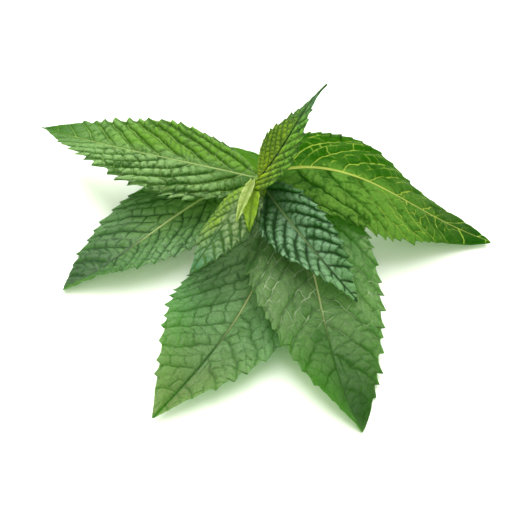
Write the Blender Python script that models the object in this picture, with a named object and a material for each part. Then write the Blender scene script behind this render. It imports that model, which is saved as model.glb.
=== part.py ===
"""Mint sprig: the cut tip of a mint shoot, lying as it was put down.

A square stem slants up from its cut end, which rests on the surface. The leaves leave it
in a whorl that opens towards -Y, and the lowest ones arch down until they touch the
surface. Every leaf and the stem is a closed solid of its own. Sizes are in millimetres
and angles in degrees, and turn into metres and radians where the geometry is built.
"""

import math
from collections import namedtuple

import bpy
import bmesh
from mathutils import Vector

MM = 0.001
CLEARANCE = 0.3          # gap kept between a leaf stalk and the stem

# ---------------------------------------------------------------- driving dimensions
# Stem axis: a curve from the cut end, over one control point, to the growing tip.
STEM_CUT_END = Vector((2.5, 33.0, 2.2))
STEM_CONTROL = Vector((1.9, 17.0, 12.6))
STEM_TIP = Vector((0.0, 2.6, 24.0))
STEM_HALF_WIDTH_CUT = 1.5
STEM_HALF_WIDTH_TIP = 0.7
STEM_CORNER_ROUNDNESS = 0.45
STEM_RINGS = 24
STEM_SIDES = 12

BLADE_THICKNESS = 0.4
STALK_THICKNESS = 1.2
STALK_HALF_WIDTH = 0.7
TIP_HALF_WIDTH = 0.25
TOOTH_DEPTH = 0.9        # on a leaf 30 mm wide, less on narrower ones
COLUMNS = 6              # strips across a leaf
PATH_STEPS = 240         # fine steps that trace each midrib

# One line per leaf, top view with +X to the right and -Y towards the viewer.
#   node      distance from the stem's cut end to the leaf's foot
#   stalk     length of the bare stalk; length and width are the blade's
#   heading   compass direction of the midrib at its foot, middle and tip (0 = +X, 90 = +Y)
#   pitch     its slope at the same three places
#   roll      sideways tilt at foot and tip, positive with the left half up
#   fold      how far each half rises from the midrib, at foot and tip
#   curl      how much each half bends down again towards its margin
#   shoulder, taper   exponents of the outline: fullness at the foot and at the tip
#   teeth     teeth on each margin
Leaf = namedtuple("Leaf", "name node stalk length width heading pitch roll fold curl "
                          "shoulder taper teeth colour")

DULL, FRESH, YOUNG, PALE = "dull_green", "fresh_green", "young_green", "pale_green"
LEAF_COLOURS = {
    DULL: (0.060, 0.135, 0.055),
    FRESH: (0.095, 0.220, 0.030),
    YOUNG: (0.220, 0.380, 0.050),
    PALE: (0.500, 0.580, 0.260),
}
STEM_COLOUR = (0.180, 0.260, 0.070)

LEAVES = [
    Leaf("leaf_low_left", 11.5, 9.0, 79.0, 35.2, (286, 247.5, 237.5), (-10, -3.3, 3.4),
         (29, -12), (-13, 31), -1.5, 0.82, 1.03, 16, DULL),
    Leaf("leaf_low_right", 19.0, 5.5, 77.5, 32.0, (303, 281, 294), (20, -16, -3.8),
         (28, -32), (-15, 24), 5.5, 0.54, 0.77, 17, DULL),
    Leaf("leaf_side_left", 15.5, 7.5, 54.8, 27.4, (205, 215.7, 216.4), (5.6, -14.4, 3),
         (-25, 31), (0.6, 20.5), 4, 0.685, 0.83, 14, DULL),
    Leaf("leaf_wide_left", 27.5, 3.0, 66.0, 24.0, (173.5, 153, 134), (12, -8.6, -19.7),
         (-12, 6), (-7, 33), 10.5, 0.65, 1.2, 16, FRESH),
    Leaf("leaf_wide_right", 27.5, 3.0, 63.7, 34.5, (-3.7, -3, -29.3), (40, -31, 3.5),
         (12, -21), (8, -2.5), 17, 0.72, 1.05, 15, FRESH),
    Leaf("leaf_back", 20.0, 5.0, 41.0, 24.5, (127, 152, 136), (7, -20.4, -16.3),
         (20, 27.5), (2, 1), 16.5, 0.60, 1.02, 13, FRESH),
    Leaf("leaf_ridged", 33.0, 2.0, 41.0, 15.7, (297, 306, 322), (0, -13, -33),
         (57, -20), (6, 23), -7, 0.68, 0.94, 13, DULL),
    Leaf("leaf_small", 35.5, 1.0, 30.1, 14.0, (239, 236, 231), (7, -20, -22),
         (14, 18), (-4, 6), 31, 0.55, 0.91, 10, FRESH),
    Leaf("leaf_upright", 35.5, 1.0, 30.8, 16.5, (-12, 33, 23), (56, 55, 36),
         (2, -36), (23, 0), 21, 0.74, 1.66, 10, YOUNG),
]

# The youngest leaves start beside the growing tip: their foot is given from there.
YOUNG_FOOT = {
    "leaflet_pale": Vector((-0.9, -0.7, 1.1)),
    "leaflet_green": Vector((0.1, -1.0, 0.3)),
    "leaflet_point": Vector((1.4, -0.8, 0.1)),
}
YOUNG_LEAVES = [
    Leaf("leaflet_pale", None, 0.4, 14.3, 3.2, (268, 250, 255), (18, -7.5, -31),
         (-6, -2), (53, 22), -10, 0.64, 1.05, 4, PALE),
    Leaf("leaflet_green", None, 0.4, 14.9, 4.4, (259, 263, 268), (7, -10, -35),
         (17, 5), (33, 13), 0, 0.63, 0.98, 5, YOUNG),
    Leaf("leaflet_point", None, 0.3, 4.2, 2.0, (275, 278, 289), (-8, 1, -33),
         (0, 0), (26, 16), 3, 0.60, 1.09, 2, YOUNG),
]
YOUNG_BLADE_THICKNESS = 0.25
YOUNG_STALK_THICKNESS = 0.45
YOUNG_STALK_HALF_WIDTH = 0.35
YOUNG_LENGTH_LIMIT = 20.0    # blades shorter than this are the thin, young kind


# ---------------------------------------------------------------- curves and outlines
def stem_point(t):
    """Point on the stem axis, t from 0 at the cut end to 1 at the tip."""
    a, b, c = STEM_CUT_END, STEM_CONTROL, STEM_TIP
    return a * (1 - t) ** 2 + b * 2 * t * (1 - t) + c * t * t


def stem_direction(t):
    a, b, c = STEM_CUT_END, STEM_CONTROL, STEM_TIP
    return ((b - a) * (1 - t) + (c - b) * t).normalized()


def stem_half_width(t):
    return STEM_HALF_WIDTH_CUT + (STEM_HALF_WIDTH_TIP - STEM_HALF_WIDTH_CUT) * t


def stem_parameter(distance):
    """The t whose arc length from the cut end is the given distance."""
    walked = 0.0
    previous = stem_point(0.0)
    for step in range(1, PATH_STEPS + 1):
        t = step / PATH_STEPS
        point = stem_point(t)
        walked += (point - previous).length
        if walked >= distance:
            return t
        previous = point
    return 1.0


def through_three(values, t):
    """Smooth value that passes through three values at t = 0, 0.5 and 1."""
    foot, middle, tip = values
    return foot * (1 - t) * (1 - 2 * t) + middle * 4 * t * (1 - t) + tip * t * (2 * t - 1)


def between(values, t):
    return values[0] + (values[1] - values[0]) * t


def outline(leaf, u):
    """Half width of the toothless blade at u, 0 at its foot and 1 at its tip."""
    peak = leaf.shoulder / (leaf.shoulder + leaf.taper)
    highest = peak ** leaf.shoulder * (1 - peak) ** leaf.taper
    u = min(max(u, 0.0), 1.0)
    return leaf.width / 2 * u ** leaf.shoulder * (1 - u) ** leaf.taper / highest


def midrib_axes(leaf, t):
    """Directions along the midrib, to its left and up, at t of the whole leaf."""
    heading = math.radians(through_three(leaf.heading, t))
    pitch = math.radians(through_three(leaf.pitch, t))
    roll = math.radians(between(leaf.roll, t))
    along = Vector((math.cos(pitch) * math.cos(heading),
                    math.cos(pitch) * math.sin(heading),
                    math.sin(pitch)))
    level_left = Vector((-math.sin(heading), math.cos(heading), 0.0))
    level_up = along.cross(level_left)
    left = level_left * math.cos(roll) + level_up * math.sin(roll)
    up = level_up * math.cos(roll) - level_left * math.sin(roll)
    return along, left, up


def leaf_foot(leaf):
    if leaf.node is None:
        return STEM_TIP + YOUNG_FOOT[leaf.name]
    return stem_point(stem_parameter(leaf.node))


def midrib_points(leaf):
    """The midrib from the leaf's foot to its tip, as PATH_STEPS + 1 points."""
    step = (leaf.stalk + leaf.length) / PATH_STEPS
    points = [leaf_foot(leaf)]
    for i in range(PATH_STEPS):
        along, _, _ = midrib_axes(leaf, (i + 0.5) / PATH_STEPS)
        points.append(points[-1] + along * step)
    return points


def across(leaf, t, half_width, v):
    """Offset of a blade point from the midrib: v is -1 at the right margin, 1 at the left."""
    fold = math.radians(between(leaf.fold, t))
    curl = math.radians(leaf.curl)
    _, left, up = midrib_axes(leaf, t)
    reach = abs(v)
    if abs(curl) < 1e-6:
        sideways = math.cos(fold) * reach
        rise = math.sin(fold) * reach
    else:
        sideways = (math.sin(fold) - math.sin(fold - curl * reach)) / curl
        rise = (math.cos(fold - curl * reach) - math.cos(fold)) / curl
    side = math.copysign(1.0, v)
    return (left * side * sideways + up * rise) * half_width


# ---------------------------------------------------------------- leaf solids
def start_of_stalk(leaf, points):
    """Distance from the foot at which the stalk's end clears the stem."""
    length = leaf.stalk + leaf.length
    if leaf.node is None:
        return 0.15
    t_stem = stem_parameter(leaf.node)
    axis = stem_direction(t_stem)
    corner = stem_half_width(t_stem) * 1.2
    for i, point in enumerate(points):
        along, _, _ = midrib_axes(leaf, i / PATH_STEPS)
        lean = abs(along.dot(axis)) * STALK_HALF_WIDTH
        offset = point - points[0]
        distance = (offset - axis * offset.dot(axis)).length
        if distance >= corner + CLEARANCE + lean:
            return length * i / PATH_STEPS
    raise ValueError(leaf.name + " never leaves the stem")


def leaf_rows(leaf, start):
    """(distance along the leaf, tooth height) for each row of points across it."""
    first_tooth, last_tooth = 0.10, 0.96
    rows = [(start, 0.0)]
    if leaf.stalk - start > 1.0:
        rows.append(((start + leaf.stalk) / 2, 0.0))
    for u in (0.0, 0.012, 0.035, 0.065):
        rows.append((max(leaf.stalk, start + 0.1) + u * leaf.length, 0.0))
    pitch = (last_tooth - first_tooth) / leaf.teeth
    for k in range(leaf.teeth):
        valley = first_tooth + k * pitch
        rows.append((leaf.stalk + valley * leaf.length, -0.5))
        rows.append((leaf.stalk + (valley + 0.75 * pitch) * leaf.length, 0.5))
    rows.append((leaf.stalk + last_tooth * leaf.length, 0.0))
    rows.append((leaf.stalk + leaf.length, 0.0))
    return rows


def build_leaf(leaf, material):
    """Bend a flat grid into the leaf's upper face, then give it its thickness."""
    young = leaf.length < YOUNG_LENGTH_LIMIT
    blade = YOUNG_BLADE_THICKNESS if young else BLADE_THICKNESS
    stalk = YOUNG_STALK_THICKNESS if young else STALK_THICKNESS
    stalk_half = YOUNG_STALK_HALF_WIDTH if young else STALK_HALF_WIDTH
    tooth_depth = TOOTH_DEPTH * min(1.0, leaf.width / 30)
    points = midrib_points(leaf)
    rows = leaf_rows(leaf, start_of_stalk(leaf, points))
    whole = leaf.stalk + leaf.length

    mesh = bpy.data.meshes.new(leaf.name)
    bm = bmesh.new()
    bmesh.ops.create_grid(bm, x_segments=COLUMNS, y_segments=len(rows) - 1, size=1.0)
    weights = bm.verts.layers.deform.verify()
    for vert in bm.verts:
        column = round((vert.co.x + 1) / 2 * COLUMNS)
        distance, tooth = rows[round((vert.co.y + 1) / 2 * (len(rows) - 1))]
        t = distance / whole
        u = (distance - leaf.stalk) / leaf.length
        half = max(outline(leaf, u), stalk_half * (1 - u), TIP_HALF_WIDTH)
        rib = min(0.33, stalk_half * 1.4 / half)
        steps = (-1.0, -(1 + rib) / 2, -rib, 0.0, rib, (1 + rib) / 2, 1.0)
        v = -steps[column]
        if abs(v) == 1.0:
            half += tooth * tooth_depth
        i = min(int(t * PATH_STEPS), PATH_STEPS - 1)
        centre = points[i].lerp(points[i + 1], t * PATH_STEPS - i)
        vert.co = (centre + across(leaf, t, half, v)) * MM
        fade = min(1.0, max(0.0, 1 - u)) ** 2
        ridge = max(blade, stalk * fade) if v == 0.0 else blade
        if u <= 0.0:
            ridge = stalk * (1 - 0.45 * v * v)
        vert[weights][0] = ridge / stalk
    bm.to_mesh(mesh)
    bm.free()

    item = bpy.data.objects.new(leaf.name, mesh)
    bpy.context.scene.collection.objects.link(item)
    item.vertex_groups.new(name="thickness")
    thicken = item.modifiers.new("Thickness", "SOLIDIFY")
    thicken.thickness = stalk * MM
    thicken.offset = -1.0
    thicken.vertex_group = "thickness"
    mesh.materials.append(material)
    mesh.shade_smooth()
    return item


# ---------------------------------------------------------------- stem solid
def build_stem(material):
    """Sweep a square with rounded corners along the stem axis and close both ends."""
    mesh = bpy.data.meshes.new("stem")
    bm = bmesh.new()
    rings = []
    sideways = Vector((1.0, 0.0, 0.0))
    for k in range(STEM_RINGS + 1):
        t = k / STEM_RINGS
        axis = stem_direction(t)
        level = (sideways - axis * sideways.dot(axis)).normalized()
        upward = axis.cross(level)
        ring = []
        for n in range(STEM_SIDES):
            angle = 2 * math.pi * n / STEM_SIDES
            c, s = math.cos(angle), math.sin(angle)
            square = 1 / max(abs(c), abs(s))
            radius = square + (1.0 - square) * STEM_CORNER_ROUNDNESS
            radius *= stem_half_width(t)
            offset = (level * c + upward * s) * radius
            ring.append(bm.verts.new((stem_point(t) + offset) * MM))
        rings.append(ring)
    for lower, upper in zip(rings, rings[1:]):
        for n in range(STEM_SIDES):
            m = (n + 1) % STEM_SIDES
            bm.faces.new((lower[n], lower[m], upper[m], upper[n]))
    bm.faces.new(list(reversed(rings[0])))
    bm.faces.new(rings[-1])
    bmesh.ops.recalc_face_normals(bm, faces=bm.faces)
    bm.to_mesh(mesh)
    bm.free()
    item = bpy.data.objects.new("stem", mesh)
    bpy.context.scene.collection.objects.link(item)
    mesh.materials.append(material)
    mesh.shade_smooth()
    mesh.set_sharp_from_angle(angle=math.radians(50))
    return item


# ---------------------------------------------------------------- assembly
def plant_material(name, colour, roughness):
    material = bpy.data.materials.new(name)
    material.use_nodes = True
    shader = material.node_tree.nodes["Principled BSDF"]
    shader.inputs["Base Color"].default_value = (*colour, 1.0)
    shader.inputs["Roughness"].default_value = roughness
    shader.inputs["Metallic"].default_value = 0.0
    return material


def set_down(items):
    """Move everything so that the box's bottom centre is at the origin."""
    bpy.context.view_layer.update()
    depsgraph = bpy.context.evaluated_depsgraph_get()
    corners = []
    for item in items:
        solid = item.evaluated_get(depsgraph).to_mesh()
        corners.extend(vertex.co.copy() for vertex in solid.vertices)
    low = Vector([min(corner[axis] for corner in corners) for axis in range(3)])
    high = Vector([max(corner[axis] for corner in corners) for axis in range(3)])
    shift = Vector((-(low.x + high.x) / 2, -(low.y + high.y) / 2, -low.z))
    for item in items:
        for vertex in item.data.vertices:
            vertex.co += shift
    print("box in mm", [round(size / MM, 1) for size in high - low],
          "shift in mm", [round(size / MM, 3) for size in shift])


def main():
    for item in list(bpy.data.objects):
        bpy.data.objects.remove(item, do_unlink=True)
    greens = {name: plant_material(name, colour, 0.5)
              for name, colour in LEAF_COLOURS.items()}
    items = [build_stem(plant_material("stem_green", STEM_COLOUR, 0.55))]
    for leaf in LEAVES + YOUNG_LEAVES:
        items.append(build_leaf(leaf, greens[leaf.colour]))
    set_down(items)


main()
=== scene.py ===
# %% [markdown]
# # A cut sprig of mint
#
# The top of a mint shoot lies on a pale surface. A square stem slants up from its cut
# end, and the leaves leave it in pairs: two long old ones that arch down towards us, a
# pair of wide ones to the sides, smaller ones above, and at the tip the first leaves of
# the next pairs, still pale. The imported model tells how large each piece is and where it
# lies, so we start by loading it, and keep the box that it fills before anything is added.

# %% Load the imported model
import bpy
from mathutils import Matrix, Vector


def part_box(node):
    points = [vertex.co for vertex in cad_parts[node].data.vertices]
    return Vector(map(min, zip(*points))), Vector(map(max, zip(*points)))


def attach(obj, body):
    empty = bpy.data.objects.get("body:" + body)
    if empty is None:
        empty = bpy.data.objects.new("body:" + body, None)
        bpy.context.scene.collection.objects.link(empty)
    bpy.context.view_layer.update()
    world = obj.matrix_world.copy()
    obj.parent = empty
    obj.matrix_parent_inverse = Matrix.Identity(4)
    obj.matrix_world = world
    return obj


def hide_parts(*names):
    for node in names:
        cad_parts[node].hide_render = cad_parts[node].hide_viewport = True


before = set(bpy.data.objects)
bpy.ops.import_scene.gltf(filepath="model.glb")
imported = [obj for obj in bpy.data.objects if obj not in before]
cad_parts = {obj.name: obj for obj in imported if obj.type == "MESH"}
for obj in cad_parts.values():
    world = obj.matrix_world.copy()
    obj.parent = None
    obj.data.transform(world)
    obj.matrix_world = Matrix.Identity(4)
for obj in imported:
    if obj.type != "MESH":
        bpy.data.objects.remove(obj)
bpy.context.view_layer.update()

import ast
import math
from collections import namedtuple

import bpy
from mathutils import Vector

MM = 0.001
print("nodes:", ", ".join(sorted(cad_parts)))

# %% [markdown]
# ## Two helpers for node trees
#
# Leaves are made by Geometry Nodes and coloured by shader nodes, and both are trees of
# small steps. One function adds a step: it takes what feeds each input, which is either
# the output of an earlier node or a plain value. A second one lets us write arithmetic
# as a line of text instead of a dozen Math nodes, because a leaf's outline is a formula
# and is easier to read as one. A third works through a list of formulas and keeps every
# result under its name, so that a later line can use what an earlier one found.

# %% A function that adds one node
def add(tree, kind, feeds=(), **settings):
    """Add a node, set its options, and feed its inputs with outputs or plain values."""
    node = tree.nodes.new(kind)
    for option, choice in settings.items():
        setattr(node, option, choice)
    pairs = feeds.items() if isinstance(feeds, dict) else enumerate(feeds)
    for place, feed in pairs:
        if isinstance(feed, bpy.types.NodeSocket):
            tree.links.new(feed, node.inputs[place])
        elif feed is not None:
            node.inputs[place].default_value = feed
    return node


# %% A function that writes a formula as nodes
SIGNS = {ast.Add: "ADD", ast.Sub: "SUBTRACT", ast.Mult: "MULTIPLY", ast.Div: "DIVIDE",
         ast.Pow: "POWER"}
CALLS = {"sin": "SINE", "cos": "COSINE", "abs": "ABSOLUTE", "min": "MINIMUM",
         "max": "MAXIMUM", "floor": "FLOOR", "fract": "FRACT", "sqrt": "SQRT",
         "exp": "EXPONENT", "above": "GREATER_THAN"}


def formula(tree, text, **names):
    """Turn a formula into Math nodes; smooth(x, a, b) rises softly from 0 at a to 1 at b."""
    def build(part):
        if isinstance(part, ast.Constant):
            return float(part.value)
        if isinstance(part, ast.Name):
            return names[part.id]
        if isinstance(part, ast.BinOp):
            feeds = [build(part.left), build(part.right)]
            return add(tree, "ShaderNodeMath", feeds,
                       operation=SIGNS[type(part.op)]).outputs[0]
        feeds = [build(term) for term in part.args]
        if part.func.id == "smooth":
            return add(tree, "ShaderNodeMapRange", feeds,
                       interpolation_type="SMOOTHSTEP").outputs[0]
        return add(tree, "ShaderNodeMath", feeds, operation=CALLS[part.func.id]).outputs[0]
    return build(ast.parse(text).body[0].value)


def work_out(tree, at, steps):
    """Work through named formulas; `at` holds all that is known at one point of a leaf."""
    for label, text in steps.items():
        at[label] = formula(tree, text, **at)


# %% [markdown]
# ## Where the stem runs
#
# The stem is a curve over three points: the cut end on the surface, one point that bends
# it, and the growing tip. Its section is a square with rounded corners, as in all mints.
# The same corners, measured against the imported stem, tell how far the model was moved
# when it was set down, so that every leaf below lands where its solid is. Lengths are in
# millimetres from here on, except where a name says otherwise.

# %% The stem's axis and section
STEM_CUT_END = Vector((2.5, 33.0, 2.2))
STEM_CONTROL = Vector((1.9, 17.0, 12.6))
STEM_TIP = Vector((0.0, 2.6, 24.0))
STEM_HALF_WIDTH_CUT = 1.5
STEM_HALF_WIDTH_TIP = 0.7
CORNER_ROUNDNESS = 0.45
PATH_STEPS = 240
RINGS, SPOKES = 24, 12


def stem_point(t):
    return (STEM_CUT_END * (1 - t) ** 2 + STEM_CONTROL * 2 * t * (1 - t)
            + STEM_TIP * t * t)


def stem_direction(t):
    first, second = STEM_CONTROL - STEM_CUT_END, STEM_TIP - STEM_CONTROL
    return (first * (1 - t) + second * t).normalized()


def stem_corner(t, angle):
    """A point of the section at t, with the square's corners rounded off."""
    axis = stem_direction(t)
    level = (Vector((1, 0, 0)) - axis * axis.x).normalized()
    c, s = math.cos(angle), math.sin(angle)
    square = 1 / max(abs(c), abs(s))
    half = STEM_HALF_WIDTH_CUT + (STEM_HALF_WIDTH_TIP - STEM_HALF_WIDTH_CUT) * t
    reach = (square + (1 - square) * CORNER_ROUNDNESS) * half
    return stem_point(t) + (level * c + axis.cross(level) * s) * reach


corners = [stem_corner(ring / RINGS, math.tau * spoke / SPOKES)
           for ring in range(RINGS + 1) for spoke in range(SPOKES)]
low = Vector([min(corner[axis] for corner in corners) for axis in range(3)])
SET_DOWN = Vector(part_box("stem")[0]) / MM - low
print("set down by", [round(part, 3) for part in SET_DOWN], "mm")

# %% [markdown]
# ## The camera and the light
#
# We look down on the sprig at 45 degrees through a long lens, so that the leaves that
# come towards us aren't swollen. The surface is white and lit so brightly that it
# vanishes, apart from soft shadows. The main light is a large window behind the sprig,
# high up: light that comes through a leaf towards the eye is what makes mint look fresh,
# and the shadows fall forwards. A second soft light hangs above, and a weak one in front
# keeps the shaded sides of the leaves open. Places and sizes are in metres.

# %% Camera
VIEW_DISTANCE_M = 0.4437
VIEW_DOWN = math.radians(45)
LENS = 120
FILM_WIDTH = 36
aim = SET_DOWN * MM
camera_data = bpy.data.cameras.new("camera")
camera_data.lens = LENS
camera_data.sensor_width = FILM_WIDTH
camera_data.clip_start = 0.01
camera = bpy.data.objects.new("camera", camera_data)
back_and_up = Vector((0, -math.cos(VIEW_DOWN), math.sin(VIEW_DOWN)))
camera.location = aim + back_and_up * VIEW_DISTANCE_M
camera.rotation_euler = (math.pi / 2 - VIEW_DOWN, 0, 0)
bpy.context.scene.collection.objects.link(camera)
bpy.context.scene.camera = camera
bpy.context.scene.view_settings.view_transform = "Standard"
print("camera at", [round(part, 3) for part in camera.location])


# %% Colours from hex values
def linear(hex_colour, alpha=1.0):
    """sRGB hex to the linear values that shaders take."""
    values = [int(hex_colour[i:i + 2], 16) / 255 for i in (1, 3, 5)]
    return (*[value / 12.92 if value <= 0.04045 else ((value + 0.055) / 1.055) ** 2.4
              for value in values], alpha)


# %% Floor and sky
FLOOR_HALF_M = 3
floor_paint = bpy.data.materials.new("matt white board")
floor_paint.use_nodes = True
floor_shader = floor_paint.node_tree.nodes["Principled BSDF"]
floor_shader.inputs["Base Color"].default_value = linear("#f7f8f6")
floor_shader.inputs["Roughness"].default_value = 0.9
floor_shader.inputs["Specular IOR Level"].default_value = 0.1
floor_mesh = bpy.data.meshes.new("floor")
floor_mesh.from_pydata([(x * FLOOR_HALF_M, y * FLOOR_HALF_M, 0)
                        for x, y in ((-1, -1), (1, -1), (1, 1), (-1, 1))], [], [(0, 1, 2, 3)])
floor_mesh.materials.append(floor_paint)
floor = bpy.data.objects.new("floor", floor_mesh)
bpy.context.scene.collection.objects.link(floor)

sky = bpy.data.worlds.new("studio")
sky.use_nodes = True
sky.node_tree.nodes["Background"].inputs["Color"].default_value = linear("#f6ffe2")
sky.node_tree.nodes["Background"].inputs["Strength"].default_value = 1.0
bpy.context.scene.world = sky

print("floor", 2 * FLOOR_HALF_M, "m wide, sky", sky.name)

# %% Lamps
Lamp = namedtuple("Lamp", "name place size watts")
LAMPS = [
    Lamp("window behind", (-0.15, 0.40, 0.60), 0.75, 6.8),
    Lamp("soft box above", (0.05, -0.06, 0.90), 0.60, 5.2),
    Lamp("fill in front", (0.15, -0.65, 0.60), 0.60, 1.5),
]
for lamp in LAMPS:
    lamp_data = bpy.data.lights.new(lamp.name, "AREA")
    lamp_data.size = lamp.size
    lamp_data.energy = lamp.watts
    light = bpy.data.objects.new(lamp.name, lamp_data)
    light.location = lamp.place
    light.rotation_euler = (aim - Vector(lamp.place)).to_track_quat("-Z", "Y").to_euler()
    bpy.context.scene.collection.objects.link(light)
print("lamps:", ", ".join(lamp.name for lamp in LAMPS))

# %% [markdown]
# ## What one leaf is
#
# A mint leaf is a thin blade on a short stalk. Its midrib is a path in space, and the
# blade hangs on it: each half folds up or down along the midrib and curls towards its
# margin. So one leaf is a handful of numbers, in millimetres and degrees. Heading and pitch
# are given at the foot, the middle and the tip, roll and fold at the foot and the tip.
#
# Eight of the twelve have the very numbers of their solids. The wide left, the back and the
# upright leaf are a little longer and start closer to the stem, to close gaps that would
# show, and leaflet_green curls by 0.1 degrees instead of 0, since the tree divides by the
# curl. Node is how far up the stem a leaf grows; the three youngest have their own feet.

# %% The sizes of every leaf
Leaf = namedtuple("Leaf", "name node stalk length width heading pitch roll fold curl "
                          "shoulder taper teeth")
LEAVES = [
    Leaf("leaf_low_left", 11.5, 9.0, 79.0, 35.2, (286, 247.5, 237.5), (-10, -3.3, 3.4),
         (29, -12), (-13, 31), -1.5, 0.82, 1.03, 16),
    Leaf("leaf_low_right", 19.0, 5.5, 77.5, 32.0, (303, 281, 294), (20, -16, -3.8),
         (28, -32), (-15, 24), 5.5, 0.54, 0.77, 17),
    Leaf("leaf_side_left", 15.5, 7.5, 54.8, 27.4, (205, 215.7, 216.4), (5.6, -14.4, 3),
         (-25, 31), (0.6, 20.5), 4, 0.685, 0.83, 14),
    Leaf("leaf_wide_left", 27.5, 0.8, 68.2, 24.0, (173.5, 153, 134), (12, -8.6, -19.7),
         (-12, 6), (-7, 33), 10.5, 0.65, 1.2, 16),
    Leaf("leaf_wide_right", 27.5, 3.0, 63.7, 34.5, (-3.7, -3, -29.3), (40, -31, 3.5),
         (12, -21), (8, -2.5), 17, 0.72, 1.05, 15),
    Leaf("leaf_back", 20.0, 3.0, 43.0, 24.5, (127, 152, 136), (7, -20.4, -16.3),
         (20, 27.5), (2, 1), 16.5, 0.48, 1.02, 13),
    Leaf("leaf_ridged", 33.0, 2.0, 41.0, 15.7, (297, 306, 322), (0, -13, -33),
         (57, -20), (6, 23), -7, 0.68, 0.94, 13),
    Leaf("leaf_small", 35.5, 1.0, 30.1, 14.0, (239, 236, 231), (7, -20, -22),
         (14, 18), (-4, 6), 31, 0.55, 0.91, 10),
    Leaf("leaf_upright", 35.5, 0.3, 31.5, 17.3, (-12, 33, 23), (56, 55, 36),
         (2, -36), (23, 0), 21, 0.40, 1.4, 10),
    Leaf("leaflet_pale", None, 0.4, 14.3, 3.2, (268, 250, 255), (18, -7.5, -31),
         (-6, -2), (53, 22), -10, 0.64, 1.05, 4),
    Leaf("leaflet_green", None, 0.4, 14.9, 4.4, (259, 263, 268), (7, -10, -35),
         (17, 5), (33, 13), 0.1, 0.63, 0.98, 5),
    Leaf("leaflet_point", None, 0.3, 4.2, 2.0, (275, 278, 289), (-8, 1, -33),
         (0, 0), (26, 16), 3, 0.60, 1.09, 2),
]
LEAFLET_FOOT = {
    "leaflet_pale": Vector((-0.9, -0.7, 1.1)),
    "leaflet_green": Vector((0.1, -1.0, 0.3)),
    "leaflet_point": Vector((1.4, -0.8, 0.1)),
}
print(len(LEAVES), "leaves, the longest", max(leaf.length for leaf in LEAVES), "mm")


# %% The midrib of a leaf as a curve
def through_three(values, t):
    """Smooth value that passes through three values at t = 0, 0.5 and 1."""
    foot, middle, tip = values
    return foot * (1 - t) * (1 - 2 * t) + middle * 4 * t * (1 - t) + tip * t * (2 * t - 1)


def leaf_foot(leaf):
    """The point on the stem's axis where a leaf starts, or a leaflet's own foot."""
    if leaf.node is None:
        return STEM_TIP + LEAFLET_FOOT[leaf.name]
    walked, point = 0.0, stem_point(0.0)
    for step in range(1, PATH_STEPS + 1):
        following = stem_point(step / PATH_STEPS)
        walked += (following - point).length
        point = following
        if walked >= leaf.node:
            break
    return point


def midrib_curve(leaf):
    """The midrib in millimetres; each point's tilt is the leaf's roll there."""
    step = (leaf.stalk + leaf.length) / PATH_STEPS
    points = [leaf_foot(leaf) + SET_DOWN]
    for i in range(PATH_STEPS):
        heading = math.radians(through_three(leaf.heading, (i + 0.5) / PATH_STEPS))
        pitch = math.radians(through_three(leaf.pitch, (i + 0.5) / PATH_STEPS))
        level = math.cos(pitch)
        points.append(points[-1] + step * Vector(
            (level * math.cos(heading), level * math.sin(heading), math.sin(pitch))))
    curve = bpy.data.curves.new("midrib of " + leaf.name, "CURVE")
    curve.dimensions = "3D"
    curve.twist_mode = "Z_UP"
    spline = curve.splines.new("POLY")
    spline.points.add(PATH_STEPS)
    for i, point in enumerate(points):
        t = i / PATH_STEPS
        spline.points[i].co = (*point, 1.0)
        spline.points[i].tilt = math.radians(leaf.roll[0] + (leaf.roll[1] - leaf.roll[0]) * t)
    guide = bpy.data.objects.new(curve.name, curve)
    bpy.context.scene.collection.objects.link(guide)
    return guide


# %% [markdown]
# ## The leaf blade in Geometry Nodes
#
# A leaf could be sculpted, but twelve leaves that all obey one rule are better grown from
# it. The tree starts from a flat grid. Its long side becomes the way along the midrib,
# its short side the way from margin to margin. Formulas then give each point its half
# width, its tooth, its fold and curl, and how far the tissue swells between the veins.
# The lower face is a second copy of the grid that meets the first along its rim, so the
# leaf is closed like a flat cushion.
#
# Mint leaves look quilted because the veins lie in valleys: side veins leave the midrib
# at a slant and arch towards the tip, and a finer net divides the strips between them into
# cells a few millimetres wide, each with its own small crown.

# %% Named inputs of the tree
NUMBERS = ("Length", "Stalk", "Width", "Shoulder", "Taper", "Fold Foot", "Fold Tip", "Curl",
           "Teeth", "Tooth Depth", "Tooth End", "Vein Gap", "Vein Slant", "Vein Arch",
           "Ridge Height", "Cell Size", "Cell Rows", "Cell Height", "Relief End",
           "Wave Height", "Wave Count", "Blade Thickness", "Stalk Thickness",
           "Stalk Half Width", "Seed")
blade = bpy.data.node_groups.new("Leaf blade", "GeometryNodeTree")
blade.interface.new_socket("Leaf", in_out="OUTPUT", socket_type="NodeSocketGeometry")
INPUT_ID = {}
for label, kind in ([("Midrib", "NodeSocketObject"), ("Finish", "NodeSocketMaterial"),
                     ("Rows", "NodeSocketInt"), ("Columns", "NodeSocketInt")]
                    + [(number, "NodeSocketFloat") for number in NUMBERS]):
    socket = blade.interface.new_socket(label, in_out="INPUT", socket_type=kind)
    INPUT_ID[label] = socket.identifier
given = add(blade, "NodeGroupInput").outputs
at = {label.lower().replace(" ", "_"): given[label] for label in NUMBERS}
print(len(INPUT_ID), "named inputs")

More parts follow.
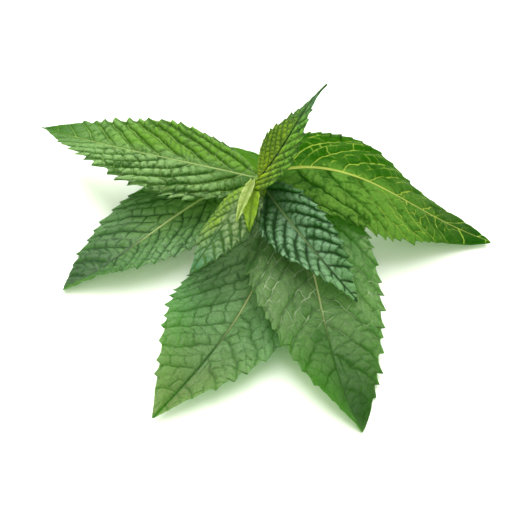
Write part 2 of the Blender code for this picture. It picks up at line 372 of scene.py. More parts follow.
# %% From grid to places on the leaf
grid = add(blade, "GeometryNodeMeshGrid", {"Vertices X": given["Columns"],
                                           "Vertices Y": given["Rows"]}).outputs["Mesh"]
flat = add(blade, "ShaderNodeSeparateXYZ", [
    add(blade, "GeometryNodeInputPosition").outputs[0]]).outputs
at.update(x=flat["X"], y=flat["Y"])
work_out(blade, at, {
    "v": "0 - 2 * x",                       # -1 at one margin, 0 on the midrib, 1 at the other
    "t": "y + 0.5",                         # 0 at the foot of the stalk, 1 at the tip
    "side": "2 * above(v, 0 - 0.0001) - 1",
    "reach": "abs(v)",
    "whole": "stalk + length",
    "u": "(t * whole - stalk) / length",    # below 0 on the stalk, 1 at the tip
    "on_blade": "min(max(u, 0), 1)",
})

# %% [markdown]
# ### The outline and its teeth
#
# One power of u widens the blade from its foot (the shoulder) and one narrows it to its tip
# (the taper); it is widest where the two balance. A tooth isn't only an outward step: its
# point is also pushed forward along the midrib, which gives the saw edge that leans
# towards the tip. A sine of the tooth's number makes no two alike.

# %% The outline, widest where shoulder and taper balance
work_out(blade, at, {
    "peak": "shoulder / (shoulder + taper)",
    "half": "max(max(width / 2 * on_blade ** shoulder * (1 - on_blade) ** taper"
            " / (peak ** shoulder * (1 - peak) ** taper),"
            " stalk_half_width * (1 - on_blade) * (1 + 0.9 * smooth(u, 0 - 0.06, 0))),"
            " 0.22 * min(1, 60 * (1 - t)))",
    "beside": "half * reach",
    "along": "u * length",
    "across": "v * half",
})

# %% Teeth that lean towards the tip
work_out(blade, at, {
    "count": "(u - 0.07) / (tooth_end - 0.07) * teeth"
             " + 0.16 * sin(u * teeth * 2.3 + 1.7 * seed + 2 * side)",
    "tooth_size": "tooth_depth * smooth(u, 0.03, 0.14)"
                  " * (1 - smooth(u, tooth_end - 0.12, tooth_end))"
                  " * (0.35 + 0.85 * fract(43.7 * sin(12.9 * floor(count) + 4.1 * side"
                  " + seed)))",
    "tooth": "min(fract(count) / 0.8, (1 - fract(count)) / 0.2) ** 2.2",
    "rimward": "smooth(reach, 0.55, 1)",
    "wide": "reach + (tooth - 0.25) * tooth_size * rimward / half",
    "forward": "min((t * whole + 0.85 * tooth * tooth_size * rimward) / whole, 1)",
})

# %% [markdown]
# ### Veins and quilting
#
# The number p counts side veins: it is whole on a vein and goes up by one to the next. Each
# strip between two veins is split into rows, and each row into cells by its rungs. A random
# number for each row sets how far apart its rungs are and how they slant, and two noises
# bend all of it, so that the net looks grown and not ruled. The skin uses the same four
# formulas, so they are kept as text.

# %% Side veins and the cells between them
STRIP = "fract(91.3 * abs(sin(12.9 * floor(rows * p) + 4.1 * side + 0.5)))"
RUNG = ("down / size * (0.75 + 0.6 * any) + 7 * any"
        " + (fract(rows * p) - 0.5) * (any - 0.5) * 1.8")
OFF_ROW = "abs(fract(rows * p + 0.5) - 0.5) / rows * gap"
OFF_RUNG = "abs(fract(rung + 0.5) - 0.5) * size / (0.75 + 0.6 * any)"
for label, shift, scale, detail in (("wobble", "seed", 0.16, 2.0), ("fine", "seed", 0.4, 1.0),
                                    ("uneven", "seed + 30", 0.13, 2.0)):
    blade_spot = add(blade, "ShaderNodeCombineXYZ", [
        at["along"], at["across"], formula(blade, shift, **at)]).outputs[0]
    at[label] = add(blade, "ShaderNodeTexNoise", {
        "Vector": blade_spot, "Scale": scale, "Detail": detail}).outputs["Fac"]
at.update(rows=at["cell_rows"], size=at["cell_size"])
work_out(blade, at, {
    "slope": "vein_slant + 4 * vein_arch * beside / width",
    "phase": "(along - vein_slant * beside - 2 * vein_arch * beside * beside / width)"
             " / vein_gap + 0.5 * wobble + 0.2 * fine",
    "gap": "vein_gap / sqrt(1 + slope * slope)",
    "p": "phase + 0.2 * side",
    "off_vein": "abs(fract(p + 0.5) - 0.5)",
    "down": "(beside + (vein_slant + vein_arch) * along)"
            " / sqrt(1 + (vein_slant + vein_arch) ** 2) + 2 * wobble + 2.2 * fine",
    "any": STRIP,
    "rung": RUNG,
    "off_row": OFF_ROW,
    "off_rung": OFF_RUNG,
})

# %% How far the tissue stands out from the smooth blade
work_out(blade, at, {
    "relief": "smooth(u, 0, 0.06) * (1 - 0.8 * smooth(u, relief_end - 0.3, relief_end + 0.1))"
              " * (1 - 0.7 * smooth(reach, 0.8, 1))",
    "ridges": "ridge_height * (0.35 * sin(3.1416 * off_vein)"
              " + 0.65 * (1 - (1 - min(off_vein * gap / 1.3, 1)) ** 2) - 0.6)"
              " * smooth(beside, 0.1, 2.2)",
    "crowns": "cell_height * (0.5 - (1 - min(off_rung / 0.7, 1)) ** 2)"
              " * smooth(off_row, 0, 0.8) * smooth(beside, 0.1, 1)",
    "swell": "(ridges + crowns) * relief"
             " + (uneven - 0.5) * 0.9 * smooth(on_blade, 0, 0.1) * smooth(beside, 0, 4)"
             " - 0.22 * exp(0 - beside * beside / 0.16) * (1 - on_blade)"
             " * smooth(on_blade, 0, 0.03)"
             " + wave_height * smooth(reach, 0.35, 1) * smooth(on_blade, 0.03, 0.25)"
             " * sin(6.283 * wave_count * on_blade + 1.9 * side + seed)",
})

# %% Thickness, with the rib below the midrib
work_out(blade, at, {
    "body": "stalk_thickness"
            " + (blade_thickness - stalk_thickness) * smooth(u, 0 - 0.02, 0.06)",
    "rim": "sqrt(max(0, 1 - reach ** (2 + 14 * smooth(u, 0, 0.06))))"
           " * sqrt(min(1, 60 * (1 - t)) * min(1, 60 * t))",
    "rib": "sqrt(max(0, 1 - (beside / (0.2 + stalk_half_width * (1 - on_blade))) ** 2))"
           " * stalk_thickness * 0.7 * (1 - on_blade) ** 1.6 * smooth(on_blade, 0, 0.04)",
})

# %% [markdown]
# ### Bend, and close the leaf
#
# Each point looks up where its place on the midrib is and which way is left and up there.
# A half blade that folds and curls is an arc of a circle, so its sideways step and its rise
# follow from the angle at the midrib (the fold) and the angle at the point (the lean). The
# relief is then added square to the arc. Fold and curl come in degrees and are turned into
# radians on the way.

# %% Bend the grid onto the midrib
path = add(blade, "GeometryNodeObjectInfo", {"Object": given["Midrib"]})
on_path = add(blade, "GeometryNodeSampleCurve", {
    "Curves": path.outputs["Geometry"], "Factor": at["forward"]}, mode="FACTOR")
left = add(blade, "ShaderNodeVectorMath", {"Vector": on_path.outputs["Normal"], "Scale": -1.0},
           operation="SCALE").outputs[0]
up = add(blade, "ShaderNodeVectorMath", [on_path.outputs["Tangent"], left],
         operation="CROSS_PRODUCT").outputs[0]
at["degree"] = 0.0174533
work_out(blade, at, {
    "fold": "(fold_foot + (fold_tip - fold_foot) * t) * degree",
    "bend": "curl * degree",
    "lean": "fold - bend * wide",
    "sideways": "side * half * (sin(fold) - sin(lean)) / bend",
    "rise": "half * (cos(lean) - cos(fold)) / bend",
    "out_left": "0 - side * sin(lean)",
    "out_up": "cos(lean)",
})
outward = add(blade, "ShaderNodeVectorMath", [left, at["out_left"], add(
    blade, "ShaderNodeVectorMath", {"Vector": up, "Scale": at["out_up"]},
    operation="SCALE").outputs[0]], operation="MULTIPLY_ADD").outputs[0]
sheet = on_path.outputs["Position"]
for direction, step in ((left, "sideways"), (up, "rise")):
    sheet = add(blade, "ShaderNodeVectorMath", [direction, at[step], sheet],
                operation="MULTIPLY_ADD").outputs[0]

# %% Note down each point's place for the colours, then make both faces
where = add(blade, "ShaderNodeCombineXYZ", [at["u"], at["v"], at["beside"]]).outputs[0]
net = add(blade, "ShaderNodeCombineXYZ", [at["phase"], at["down"], at["gap"]]).outputs[0]
faces = []
for under, offset in ((0.0, "swell - body / 2 + body / 2 * rim"),
                      (1.0, "swell - body / 2 - body / 2 * rim - rib * rim")):
    face = grid
    for label, kind, value in (("place", "FLOAT_VECTOR", where), ("net", "FLOAT_VECTOR", net),
                               ("under", "FLOAT", under)):
        face = add(blade, "GeometryNodeStoreNamedAttribute", {
            "Geometry": face, "Name": label, "Value": value}, data_type=kind).outputs[0]
    spot = add(blade, "ShaderNodeVectorMath", [outward, formula(blade, offset, **at), sheet],
               operation="MULTIPLY_ADD").outputs[0]
    face = add(blade, "GeometryNodeSetPosition", {"Geometry": face, "Position": spot}).outputs[0]
    if under:
        face = add(blade, "GeometryNodeFlipFaces", {"Mesh": face}).outputs[0]
    faces.append(face)

# %% Close the rim and finish the tree
RIM_GAP = 0.0002
joined = add(blade, "GeometryNodeJoinGeometry")
for face in faces:
    blade.links.new(face, joined.inputs[0])
closed = add(blade, "GeometryNodeMergeByDistance", {
    "Geometry": joined.outputs[0], "Distance": RIM_GAP})
in_metres = add(blade, "GeometryNodeTransform", {
    "Geometry": closed.outputs[0], "Scale": (MM, MM, MM)})
soft = add(blade, "GeometryNodeSetShadeSmooth", {"Geometry": in_metres.outputs[0]})
real = add(blade, "GeometryNodeRealizeInstances", {"Geometry": soft.outputs[0]})
finished = add(blade, "GeometryNodeSetMaterial", {
    "Geometry": real.outputs[0], "Material": given["Finish"]})
add(blade, "NodeGroupOutput", [finished.outputs[0]])
print("leaf blade tree:", len(blade.nodes), "nodes")

# %% [markdown]
# ## The skin of a mint leaf
#
# A leaf isn't painted: light goes into it, loses its red and blue to the green cells and
# comes out again on both sides. So each leaf mixes a glossy green surface, its waxy skin,
# with a translucent one, the tissue behind it, which glows yellower where the sun comes
# through. The pattern is the vein net that the blade was quilted with, read back from the
# numbers noted down on the mesh, so that colour and shape agree: a pale midrib, side
# veins with a fine light core, cross veins, and a last net of about a millimetre. Light and
# shade are painted in as well: a darker green along the creases of the veins and over the
# fine net, where the quilting shades the tissue, and a lighter green on the crowns of the
# cells. The skin is satin, with a roughness between 0.38 and 0.6, and a trace of sheen
# from its fine hairs greys the crowns.

# %% One look per kind of leaf
# Of these, three set how strong and how wide the painted shade in the creases is, one picks the
# half that gets painted light, and contrast scales the random blotches together with the painted
# light and shade of the crowns.
PLAIN = dict(contrast=1.0, creases=0.8, cross_creases=0.4, side_vein=0.0, cross_vein=0.0,
             rib_width=0.2, rib_end=0.7, fresh_half=0.0, net_half=0.0, net_end=1.5,
             foot_reach=0.3, size=3.0, roughness=0.42, gloss=0.3, sheen=0.05,
             crease_width=0.36, rows=1.0, underside="#6f8f5c")
Look = namedtuple("Look", ["deep", "light", "tip", "foot", "crease", "vein", "rib", "glow",
                           "fresh", *PLAIN], defaults=PLAIN.values())
print("a look has", len(Look._fields), "values,", len(PLAIN), "of them with a usual one")

# %% Where a point lies in the vein net
NET_PER_M = 900.0       # a last net with cells 1.1 mm wide
NOISES_PER_M = {"patches": (110.0, 3.0),    # blotches of about 9 mm
                "grain": (1500.0, 2.0),     # a grain of 0.7 mm
                "fading": (260.0, 1.0)}     # 4 mm stretches where cross veins show or don't


def read_net(tree, look):
    """All that the skin knows about a point: the look's values, its place, its patterns."""
    place, net = [add(tree, "ShaderNodeSeparateXYZ", [add(
        tree, "ShaderNodeAttribute", attribute_name=label).outputs["Vector"]]).outputs
        for label in ("place", "net")]
    at = {**look._asdict(), "u": place["X"], "v": place["Y"], "d": place["Z"],
          "phase": net["X"], "down": net["Y"], "gap": net["Z"]}
    at["under"] = add(tree, "ShaderNodeAttribute", attribute_name="under").outputs["Fac"]
    spot = add(tree, "ShaderNodeTexCoord").outputs["Object"]
    at["edge"] = add(tree, "ShaderNodeTexVoronoi", {
        "Vector": spot, "Scale": NET_PER_M, "Randomness": 1.0},
        feature="DISTANCE_TO_EDGE").outputs["Distance"]
    for label, (scale, detail) in NOISES_PER_M.items():
        at[label] = add(tree, "ShaderNodeTexNoise", {
            "Vector": spot, "Scale": scale, "Detail": detail}).outputs["Fac"]
    return at


# %% [markdown]
# ### From net to colour
#
# Every formula here gives a share between 0 and 1: how much of a point is midrib, vein core
# or painted shade in the creases of the veins. The tone is how light its green is: random
# blotches and grain, with painted light on the crowns of the cells and painted shade towards
# the veins. Then colours are laid over one another like glazes, each by its share, first for
# the skin and then for the light that glows through.

# %% The shares of rib, veins and the painted shade in the creases
NET_SHARES = {
    "side": "2 * above(v, 0) - 1",
    "p": "phase + 0.2 * side",
    "off": "abs(fract(p + 0.5) - 0.5) * gap",
    "any": STRIP,
    "rung": RUNG,
    "off_row": OFF_ROW,
    "off_rung": OFF_RUNG,
    "cell": "fract(43.7 * sin(12.9 * floor(rows * p) + 7.3 * floor(rung) + side))",
    "midrib": "(1 - smooth(d, rib_width * (1.1 - u) - 0.06, rib_width * (1.1 - u) + 0.1))"
              " * (1 - smooth(u, rib_end - 0.2, rib_end + 0.1))",
    "half": "(1 - above(abs(side - net_half), 1.5) * (1 - smooth(u, 0.3, 0.6)))"
            " * (1 - smooth(u, net_end - 0.1, net_end + 0.15))",
    "side_core": "(1 - smooth(off, 0.04, 0.22)) * (1 - 0.6 * smooth(abs(v), 0.5, 1))"
                 " * smooth(abs(v), 0, 0.05)",
    # Painted shade: these shares darken the green along the creases of the side veins, the cross
    # veins and the midrib, where the quilted tissue shades them.
    "side_valley": "1 - smooth(off, 0.06, crease_width)",
    "cross_core": "(1 - smooth(min(off_rung, off_row), 0.03, 0.18))"
                  " * (1 - smooth(abs(v), 0.8, 1)) * (1 - smooth(u, 0.75, 0.95))",
    "cross_valley": "1 - smooth(min(off_rung, off_row), 0.04, 0.3)",
    "shown": "0.1 + 0.9 * smooth(fading, 0.4, 0.6)",
    "fine_net": "1 - smooth(edge, 0.02, 0.12)",
    "mid_valley": "(1 - smooth(d, 0.08, 0.2 + rib_width)) * smooth(u, 0.02, 0.1)",
    # Painted shade: the crease shades taken together, with the last fine net darkened too.
    "valley": "min(1, max(max(side_valley * creases * (2 - half), mid_valley),"
              " cross_valley * cross_creases * (0.1 + 1.1 * shown)) + 0.32 * fine_net)",
    "veins": "min(1, half * (side_vein * side_core + cross_vein * cross_core * shown))",
    # Painted light and shade: lighter on the crowns of the cells and darker towards the side
    # veins and the rungs, on top of random blotches, cell tones and grain.
    "tone": "min(1, max(0, 0.5 + contrast * ((patches - 0.5) * 1.6"
            " + 0.35 * (cell - 0.5) + 1.1 * (grain - 0.5)"
            " + 0.3 * (smooth(off_rung, 0, 0.8) - 0.6)"
            " + 0.3 * (smooth(off, 0, 0.9) - 0.6))))",
}

# %% The glazes, from the first to the last
SKIN_GLAZES = {
    "light": "tone",
    "tip": "smooth(u, 0.5, 1)",
    # The foot colour is a paler or deeper base on most leaves; on the old, pale net and side
    # looks it is painted light that lifts the shade cast by the leaves above.
    "foot": "(1 - smooth(u + 0.03 * d, 0, foot_reach)) * (0.5 + 0.5 * tone)",
    # Painted light: one half of the blade gets its own green, standing in for the light that
    # falls on that half or comes through it from behind.
    "fresh": "above(fresh_half * side, 0) * smooth(abs(v), 0, 0.25)"
             " * (1 - smooth(u, 0.45, 0.8)) * (0.3 + 0.7 * tone)",
    # Painted shade: the crease colour laid along the creases of the veins.
    "crease": "valley",
    "vein": "veins",
    "rib": "midrib * smooth(u, 0 - 0.03, 0.04) * (0.75 + 0.5 * (patches - 0.5))",
    "underside": "0.5 * under",
}
GLOW_GLAZES = {
    "vein": "veins",
    "rib": "0.8 * midrib * smooth(u, 0, 0.12)",
}
MIX_SHARE, MIX_BELOW, MIX_ABOVE, MIXED = 0, 6, 7, 2     # the colour sockets of a Mix node
print(len(NET_SHARES), "shares,", len(SKIN_GLAZES), "glazes on the skin")

# %% The leaf material
TISSUE_SHARE = 0.52
REFRACTION = 1.42


def leaf_skin(name, look):
    """Waxy living tissue: satin skin over translucent green, with the vein net drawn in."""
    skin = bpy.data.materials.new(name)
    skin.use_nodes = True
    tree = skin.node_tree
    tree.nodes.clear()
    at = read_net(tree, look)
    work_out(tree, at, NET_SHARES)

    painted = []
    for ground, glazes in ((look.deep, SKIN_GLAZES), (look.glow, GLOW_GLAZES)):
        colour = linear(ground)
        for paint, share in glazes.items():
            colour = add(tree, "ShaderNodeMix", {
                MIX_SHARE: formula(tree, share, **at), MIX_BELOW: colour,
                MIX_ABOVE: linear(getattr(look, paint))}, data_type="RGBA").outputs[MIXED]
        painted.append(colour)

    bump = add(tree, "ShaderNodeBump", {
        "Strength": 0.4, "Distance": 0.00012, "Height": formula(
            tree, "0.6 * smooth(edge, 0, 0.3) + 0.5 * grain", **at)}).outputs[0]
    rough = formula(tree, "roughness + 0.14 * (grain - 0.5) + 0.08 * valley", **at)
    surface = add(tree, "ShaderNodeBsdfPrincipled", {
        "Base Color": painted[0], "Roughness": rough, "Normal": bump, "IOR": REFRACTION,
        "Specular IOR Level": look.gloss, "Sheen Weight": look.sheen, "Sheen Roughness": 0.45,
        "Sheen Tint": linear("#d6e6dc")}).outputs[0]
    tissue = add(tree, "ShaderNodeBsdfTranslucent", {
        "Color": painted[1], "Normal": bump}).outputs[0]
    both = add(tree, "ShaderNodeMixShader", [TISSUE_SHARE, surface, tissue]).outputs[0]
    add(tree, "ShaderNodeOutputMaterial", [both])
    return skin


# %% [markdown]
# ### Eleven looks
#
# Nine colours come first: the deep and the light green that the tone runs between, then
# tip, foot, the painted shade in the creases, vein, rib, the light that glows through, and
# a painted light colour for the half of some leaves that faces the light or is lit through
# from behind. On the old, pale net and side looks the foot colour is painted light too: a
# paler green that lifts the shade the upper leaves cast on their inner ends. Of the named
# values, widths and size are in millimetres, and ends and reaches are shares of the leaf's
# length. With net_half at 1 or -1 only that side of the midrib shows pale veins low down,
# and at 0 both do. The lit-half value, at 1 or -1, picks the side that gets the painted
# light, and at 0 neither does.

# %% Looks of the leaves
LOOKS = {
    # On the first three looks the foot colour is painted light: a paler green that fades along
    # the leaf and lifts the shade the upper leaves cast on it.
    "old": Look("#45663b", "#708f68", "#797a56", "#a6ca8e", "#1f310d", "#8fae7c", "#f2f4b4",
                "#85cc40", "#4d7239", contrast=1.3, creases=0.55, cross_creases=0.58,
                cross_vein=0.1, rib_width=0.32, rib_end=0.6, size=3.8, rows=2.0, roughness=0.46,
                sheen=0.12, foot_reach=1.0),
    "pale net": Look("#415f37", "#6e845b", "#050f01", "#9cc080", "#1e310c", "#c6daae",
                     "#f6f4bc", "#9ad64d", "#3b5f27", contrast=2.0, creases=1.0,
                     cross_creases=0.75, side_vein=0.15, cross_vein=0.75, rib_width=0.34,
                     rib_end=0.6, net_half=-1.0, net_end=0.6, size=3.4, rows=2.0,
                     roughness=0.46, sheen=0.12, foot_reach=0.4),
    "side": Look("#325534", "#75966a", "#0f3608", "#86b058", "#102516", "#7f9e6c", "#f4ffb4",
                 "#92c94a", "#3c6928", contrast=1.5, creases=0.9, cross_creases=0.85,
                 cross_vein=0.1, rib_width=0.36, rib_end=0.6, size=3.2, rows=2.0, roughness=0.38,
                 gloss=0.6, sheen=0.15, foot_reach=0.95),
    "puckered": Look("#23401b", "#94b676", "#1c4721", "#3c681c", "#1b3b10", "#a4c868",
                     "#b9cd80", "#91bf3c", "#6f9c30", contrast=2.3, creases=0.95,
                     cross_creases=0.45, side_vein=0.4, cross_vein=0.45, rib_width=0.2,
                     rib_end=0.9, fresh_half=-1.0, size=2.4, crease_width=0.8, foot_reach=0.45),
    "wide": Look("#2f4f1c", "#6c933d", "#022a0a", "#2f6408", "#103103", "#b0c850",
                 "#d3d972", "#83bf15", "#184002", contrast=2.0, creases=0.45,
                 cross_creases=0.15, side_vein=1.0, cross_vein=0.75, rib_width=0.42,
                 rib_end=1.2, fresh_half=1.0, net_half=1.0, size=3.4, rows=2.0,
                 roughness=0.5, gloss=0.04, sheen=0.0),
    "ridged": Look("#285222", "#88ae8a", "#7eae73", "#16300e", "#0d240e", "#6c9a58",
                   "#7f9a60", "#68af39", "#306525", contrast=1.8, creases=1.0,
                   cross_creases=0.6, side_vein=0.05, cross_vein=0.1, rib_width=0.25,
                   rib_end=0.7, size=1.9, crease_width=0.42, roughness=0.4, gloss=0.35,
                   sheen=0.05, foot_reach=0.6),
    "back": Look("#326901", "#508001", "#3e7301", "#5f8c24", "#194301", "#8fb858",
                 "#9cc060", "#69b201", "#44780d", creases=0.3, cross_creases=0.1,
                 side_vein=0.3, cross_vein=0.2, roughness=0.6, gloss=0.05, sheen=0.0),
    "small": Look("#37573c", "#99ab80", "#497d64", "#86a02c", "#1b4011", "#94b85c",
                  "#94ac54", "#aecf49", "#8aa83a", contrast=1.8, creases=1.0,
                  cross_creases=0.5, side_vein=0.1, cross_vein=0.2, rib_end=0.5,
                  fresh_half=-1.0, size=1.6, crease_width=0.5),
    "upright": Look("#1f4517", "#84bc41", "#356254", "#c0d820", "#153506", "#a8c460",
                    "#1f3f0a", "#689936", "#84a022", contrast=2.2, creases=0.7,
                    cross_creases=0.55, side_vein=0.1, cross_vein=0.3, rib_width=0.5,
                    rib_end=0.8, fresh_half=1.0, size=1.2, crease_width=0.5, gloss=0.2,
                    sheen=0.0, foot_reach=0.6),
    "bud": Look("#7f9e21", "#a7bd45", "#7f9e2e", "#7c9828", "#395b0a", "#a8bc68", "#94ac44",
                "#cae73e", "#7a9923", creases=0.5, cross_creases=0.3, side_vein=0.3,
                cross_vein=0.2, size=1.2, gloss=0.2, sheen=0.0),
    "pale": Look("#abbb72", "#d2d4b0", "#b1c57e", "#a4b464", "#667c30", "#c0cc94", "#acbc70",
                 "#ddeb91", "#cbd38e", creases=0.5, cross_creases=0.3, side_vein=0.3,
                 cross_vein=0.1, size=1.2, gloss=0.25, sheen=0.0),
}
SKINS = {kind: leaf_skin("living mint leaf, " + kind, look) for kind, look in LOOKS.items()}
print(len(SKINS), "leaf skins")

# %% [markdown]
# ## Growing the leaves
#
# Each leaf gets its look and its relief: how far apart the side veins are, how steeply
# they leave the midrib, how deep the quilting is and where it fades towards the tip, and
# how the margin waves. Veins is the number of side veins on each half, and step is the
# width of a grid cell. A leaf is one object whose only modifier is the tree. It is
# evaluated once, its result kept as a plain mesh, and its midrib curve thrown away.

# %% Relief of each leaf, in millimetres
Relief = namedtuple("Relief", "look slot veins slant arch ridge cell relief_end depth tooth_end "
                              "wave waves step")
RELIEF = {
    "leaf_low_left": Relief("old", "mature_leaf", 9, 0.7, 0.6, 0.55, 0.35, 1.1, 1.4, 0.95, 0.6,
                            2.0, 0.30),
    "leaf_low_right": Relief("pale net", "mature_leaf", 9, 0.7, 0.6, 0.55, 0.35, 1.1, 1.4, 0.95,
                             0.35, 2.2, 0.30),
    "leaf_side_left": Relief("side", "mature_leaf", 8, 0.7, 0.6, 0.6, 0.5, 1.1, 1.35, 0.93,
                             0.35, 1.6, 0.28),
    "leaf_wide_left": Relief("puckered", "fresh_leaf", 10, 1.4, 0.8, 1.15, 0.6, 0.75, 1.8,
                             0.86, 0.4, 2.2, 0.28),
    "leaf_wide_right": Relief("wide", "fresh_leaf", 8, 0.55, 0.85, 0.9, 0.12, 1.0, 1.55, 0.80,
                              0.7, 2.4, 0.28),
    "leaf_back": Relief("back", "fresh_leaf", 7, 0.6, 0.5, 0.3, 0.1, 0.9, 0.8, 0.9,
                        0.2, 1.0, 0.28),
    "leaf_ridged": Relief("ridged", "mature_leaf", 9, 0.7, 0.8, 1.1, 0.15, 1.2, 1.2, 0.95, 0.3,
                          2.0, 0.20),
    "leaf_small": Relief("small", "fresh_leaf", 8, 0.7, 0.5, 0.6, 0.4, 0.9, 1.1, 0.9, 0.3, 2.0,
                         0.18),
    "leaf_upright": Relief("upright", "young_leaf", 10, 0.9, 0.5, 0.5, 0.4, 0.8, 1.0, 0.85, 0.2,
                           1.5, 0.18),
    "leaflet_pale": Relief("pale", "pale_leaf", 5, 0.9, 0.3, 0.2, 0.03, 0.9, 0.25, 0.9,
                           0.1, 1.0, 0.10),
    "leaflet_green": Relief("bud", "young_leaf", 5, 0.9, 0.3, 0.2, 0.03, 0.9, 0.25, 0.9,
                            0.1, 1.0, 0.10),
    "leaflet_point": Relief("bud", "young_leaf", 3, 0.9, 0.3, 0.06, 0.0, 0.9, 0.1, 0.9,
                            0.05, 1.0, 0.08),
}


# %% Keep what a tree has grown
def keep_grown(piece, guide):
    """Turn the tree's result into the piece's own mesh; its tree and guide curve go."""
    bpy.context.view_layer.update()
    grown = piece.evaluated_get(bpy.context.evaluated_depsgraph_get())
    mesh = bpy.data.meshes.new_from_object(grown)
    piece.modifiers.clear()
    piece.data = mesh
    mesh.name = piece.name
    bpy.data.objects.remove(guide)


def tell_size(piece, solid):
    """Print a piece's faces and how far it goes beyond its solid on either side."""
    spots = [vertex.co for vertex in piece.data.vertices]
    low = [min(spot[axis] for spot in spots) for axis in range(3)]
    high = [max(spot[axis] for spot in spots) for axis in range(3)]
    print(piece.name, len(piece.data.polygons), "faces, beyond its solid by mm",
          [round((a - b) / MM, 1) for a, b in zip(solid[0], low)],
          [round((b - a) / MM, 1) for a, b in zip(solid[1], high)])


# %% Grow one leaf from the tree
YOUNG_BELOW = 20.0
Tissue = namedtuple("Tissue", "blade stalk half_width")
YOUNG, GROWN = Tissue(0.2, 0.45, 0.35), Tissue(0.3, 1.2, 0.7)


def grow(leaf, seed):
    """Make the object of one leaf."""
    relief = RELIEF[leaf.name]
    look = LOOKS[relief.look]
    tissue = YOUNG if leaf.length < YOUNG_BELOW else GROWN
    guide = midrib_curve(leaf)
    values = {
        "Midrib": guide, "Finish": SKINS[relief.look],
        "Rows": round((leaf.stalk + leaf.length) / relief.step) + 1,
        "Columns": 2 * round(leaf.width / relief.step / 2) + 1,
        "Length": leaf.length, "Stalk": leaf.stalk, "Width": leaf.width,
        "Shoulder": leaf.shoulder, "Taper": leaf.taper, "Fold Foot": leaf.fold[0],
        "Fold Tip": leaf.fold[1], "Curl": leaf.curl, "Teeth": leaf.teeth,
        "Tooth Depth": relief.depth, "Tooth End": relief.tooth_end,
        "Vein Gap": leaf.length / relief.veins, "Vein Slant": relief.slant,
        "Vein Arch": relief.arch, "Ridge Height": relief.ridge, "Cell Size": look.size,
        "Cell Rows": look.rows, "Cell Height": relief.cell, "Relief End": relief.relief_end,
        "Wave Height": relief.wave, "Wave Count": relief.waves,
        "Blade Thickness": tissue.blade, "Stalk Thickness": tissue.stalk,
        "Stalk Half Width": tissue.half_width, "Seed": float(seed)}
    piece = bpy.data.objects.new("mint_" + leaf.name, bpy.data.meshes.new(leaf.name))
    bpy.context.scene.collection.objects.link(piece)
    growth = piece.modifiers.new("Leaf blade", "NODES")
    growth.node_group = blade
    for label, value in values.items():
        growth[INPUT_ID[label]] = float(value) if label in NUMBERS else value
    keep_grown(piece, guide)
    return piece


# %% All the leaves
for seed, leaf in enumerate(LEAVES, start=1):
    piece = grow(leaf, seed)
    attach(piece, "root")
    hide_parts(leaf.name)
    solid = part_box(leaf.name)
    tell_size(piece, solid)

# %% [markdown]
# ## The stem
#
# A mint stem is square: four ribs of tough tissue stand at its corners, with a shallow
# groove between each pair, and it swells a little where a pair of leaves leaves it. It
# could be extruded, but a sweep keeps its section square to a path that bends. The path
# carries the half width as its radius, the section is a circle pushed out into a rounded
# square, and past the last leaves the radius shrinks to close the growing tip in a dome.

# %% The path with its swellings
NODES = sorted({leaf.node for leaf in LEAVES if leaf.node is not None})
SWELL_HEIGHT = 0.16
SWELL_REACH = 1.5
DOME = 1.4
DOME_STEPS = 12
STEM_STEPS = 150
MEASURE_STEPS = 400
stem_length = sum((stem_point((k + 1) / MEASURE_STEPS) - stem_point(k / MEASURE_STEPS)).length
                  for k in range(MEASURE_STEPS))
stem_curve = bpy.data.curves.new("stem path", "CURVE")
stem_curve.dimensions = "3D"
stem_curve.twist_mode = "Z_UP"
spline = stem_curve.splines.new("POLY")
stops = [(k / STEM_STEPS, 1.0, 0.0) for k in range(STEM_STEPS + 1)]
for k in range(1, DOME_STEPS):
    turn = k * math.pi / (2 * DOME_STEPS)
    stops.append((1.0, math.cos(turn), DOME * math.sin(turn)))
spline.points.add(len(stops) - 1)
for point, (t, closing, past) in zip(spline.points, stops):
    swelling = sum(SWELL_HEIGHT * math.exp(-((t * stem_length - node) / SWELL_REACH) ** 2)
                   for node in NODES)
    half = STEM_HALF_WIDTH_CUT + (STEM_HALF_WIDTH_TIP - STEM_HALF_WIDTH_CUT) * t
    point.co = (*(stem_point(t) + stem_direction(t) * past + SET_DOWN), 1.0)
    point.radius = (half + swelling) * closing
stem_path = bpy.data.objects.new("stem path", stem_curve)
bpy.context.scene.collection.objects.link(stem_path)
print("stem", round(stem_length, 1), "mm long, swollen at", NODES)

# %% The sweep
sweep = bpy.data.node_groups.new("Stem sweep", "GeometryNodeTree")
sweep.interface.new_socket("Stem", in_out="OUTPUT", socket_type="NodeSocketGeometry")
STEM_ID = {label: sweep.interface.new_socket(label, in_out="INPUT", socket_type=kind).identifier
           for label, kind in (("Path", "NodeSocketObject"), ("Finish", "NodeSocketMaterial"),
                               ("Points Round", "NodeSocketInt"),
                               ("Groove Depth", "NodeSocketFloat"))}
given = add(sweep, "NodeGroupInput").outputs
ring = add(sweep, "GeometryNodeCurvePrimitiveCircle", {"Resolution": given["Points Round"],
                                                       "Radius": 1.0}).outputs[0]
spot = add(sweep, "GeometryNodeInputPosition").outputs[0]
flat = add(sweep, "ShaderNodeSeparateXYZ", [spot]).outputs
square = formula(sweep, "1 / max(abs(x), abs(y))", x=flat["X"], y=flat["Y"])
push = formula(sweep, "s + (1 - s) * rounded - groove * smooth(abs(abs(x) - abs(y)), 0.35, 1)",
               s=square, rounded=CORNER_ROUNDNESS, groove=given["Groove Depth"], x=flat["X"],
               y=flat["Y"])
ring = add(sweep, "GeometryNodeSetPosition", {"Geometry": ring, "Position": add(
    sweep, "ShaderNodeVectorMath", {"Vector": spot, "Scale": push}, operation="SCALE").outputs[0]}
    ).outputs[0]
path = add(sweep, "GeometryNodeObjectInfo", {"Object": given["Path"]}).outputs["Geometry"]
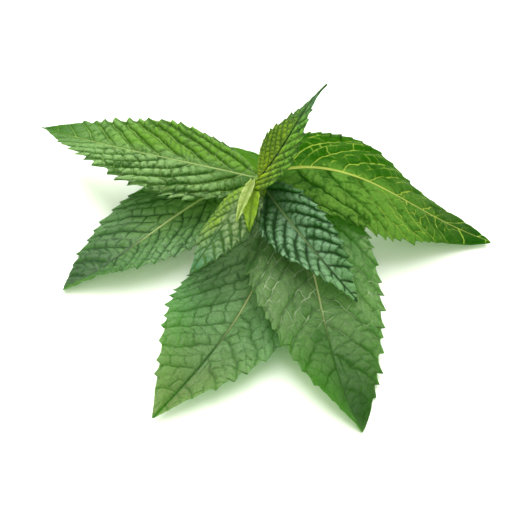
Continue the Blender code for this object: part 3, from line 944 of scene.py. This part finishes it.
radius = add(sweep, "GeometryNodeInputRadius").outputs[0]
tube = add(sweep, "GeometryNodeCurveToMesh", {"Curve": path, "Profile Curve": ring,
                                              "Scale": radius, "Fill Caps": True})
tube = add(sweep, "GeometryNodeTransform", {"Geometry": tube.outputs[0], "Scale": (MM, MM, MM)})
tube = add(sweep, "GeometryNodeSetShadeSmooth", {"Geometry": tube.outputs[0]})
tube = add(sweep, "GeometryNodeRealizeInstances", {"Geometry": tube.outputs[0]})
tube = add(sweep, "GeometryNodeSetMaterial", {"Geometry": tube.outputs[0],
                                              "Material": given["Finish"]})
add(sweep, "NodeGroupOutput", [tube.outputs[0]])
print("stem sweep tree:", len(sweep.nodes), "nodes")

# %% [markdown]
# ### The skin of the stem
#
# The stem is duller than a leaf and lets little light through. It is a dull green where it
# was cut and fresher towards the tip, with fine streaks that run along its fibres, and the
# pale pith shows at the cut. Distances from the cut are in metres.

# %% Stem skin
STREAKS_PER_M = 2600.0
STREAK_STRETCH = 0.12
STEM_SLANT = math.radians(-35)
stem_skin = bpy.data.materials.new("living mint stem")
stem_skin.use_nodes = True
tree = stem_skin.node_tree
tree.nodes.clear()
spot = add(tree, "ShaderNodeTexCoord").outputs["Object"]
cut = (STEM_CUT_END + SET_DOWN) * MM
from_cut = add(tree, "ShaderNodeVectorMath", [spot, tuple(cut)], operation="DISTANCE"
               ).outputs["Value"]
strands = add(tree, "ShaderNodeMapping", {"Vector": spot, "Rotation": (STEM_SLANT, 0, 0),
                                          "Scale": (1.0, STREAK_STRETCH, 1.0)}).outputs[0]
streak = add(tree, "ShaderNodeTexNoise", {"Vector": strands, "Scale": STREAKS_PER_M,
                                          "Detail": 2.0}).outputs["Fac"]
colour = linear("#3c4f20")
for paint, share in (("#4c6812", "smooth(d, 0.006, 0.034)"),
                     ("#5c7426", "0.5 * smooth(s, 0.45, 0.7)"),
                     ("#9aa074", "1 - smooth(d, 0.0009, 0.0013)")):
    colour = add(tree, "ShaderNodeMix", {
        MIX_SHARE: formula(tree, share, d=from_cut, s=streak), MIX_BELOW: colour,
        MIX_ABOVE: linear(paint)}, data_type="RGBA").outputs[MIXED]
bump = add(tree, "ShaderNodeBump", {"Strength": 0.4, "Distance": 0.0001, "Height": streak}
           ).outputs[0]
shader = add(tree, "ShaderNodeBsdfPrincipled", {
    "Base Color": colour, "Normal": bump, "Roughness": 0.6, "IOR": REFRACTION,
    "Specular IOR Level": 0.12, "Subsurface Weight": 0.15, "Subsurface Scale": 0.0008,
    "Subsurface Radius": (0.6, 1.0, 0.3)}).outputs[0]
add(tree, "ShaderNodeOutputMaterial", [shader])
print("stem skin:", len(tree.nodes), "nodes")

# %% Grow the stem
stem = bpy.data.objects.new("mint_stem", bpy.data.meshes.new("mint_stem"))
bpy.context.scene.collection.objects.link(stem)
growth = stem.modifiers.new("Stem sweep", "NODES")
growth.node_group = sweep
for label, value in (("Path", stem_path), ("Finish", stem_skin), ("Points Round", 48),
                     ("Groove Depth", 0.09)):
    growth[STEM_ID[label]] = value
keep_grown(stem, stem_path)
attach(stem, "root")
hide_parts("stem")
tell_size(stem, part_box("stem"))
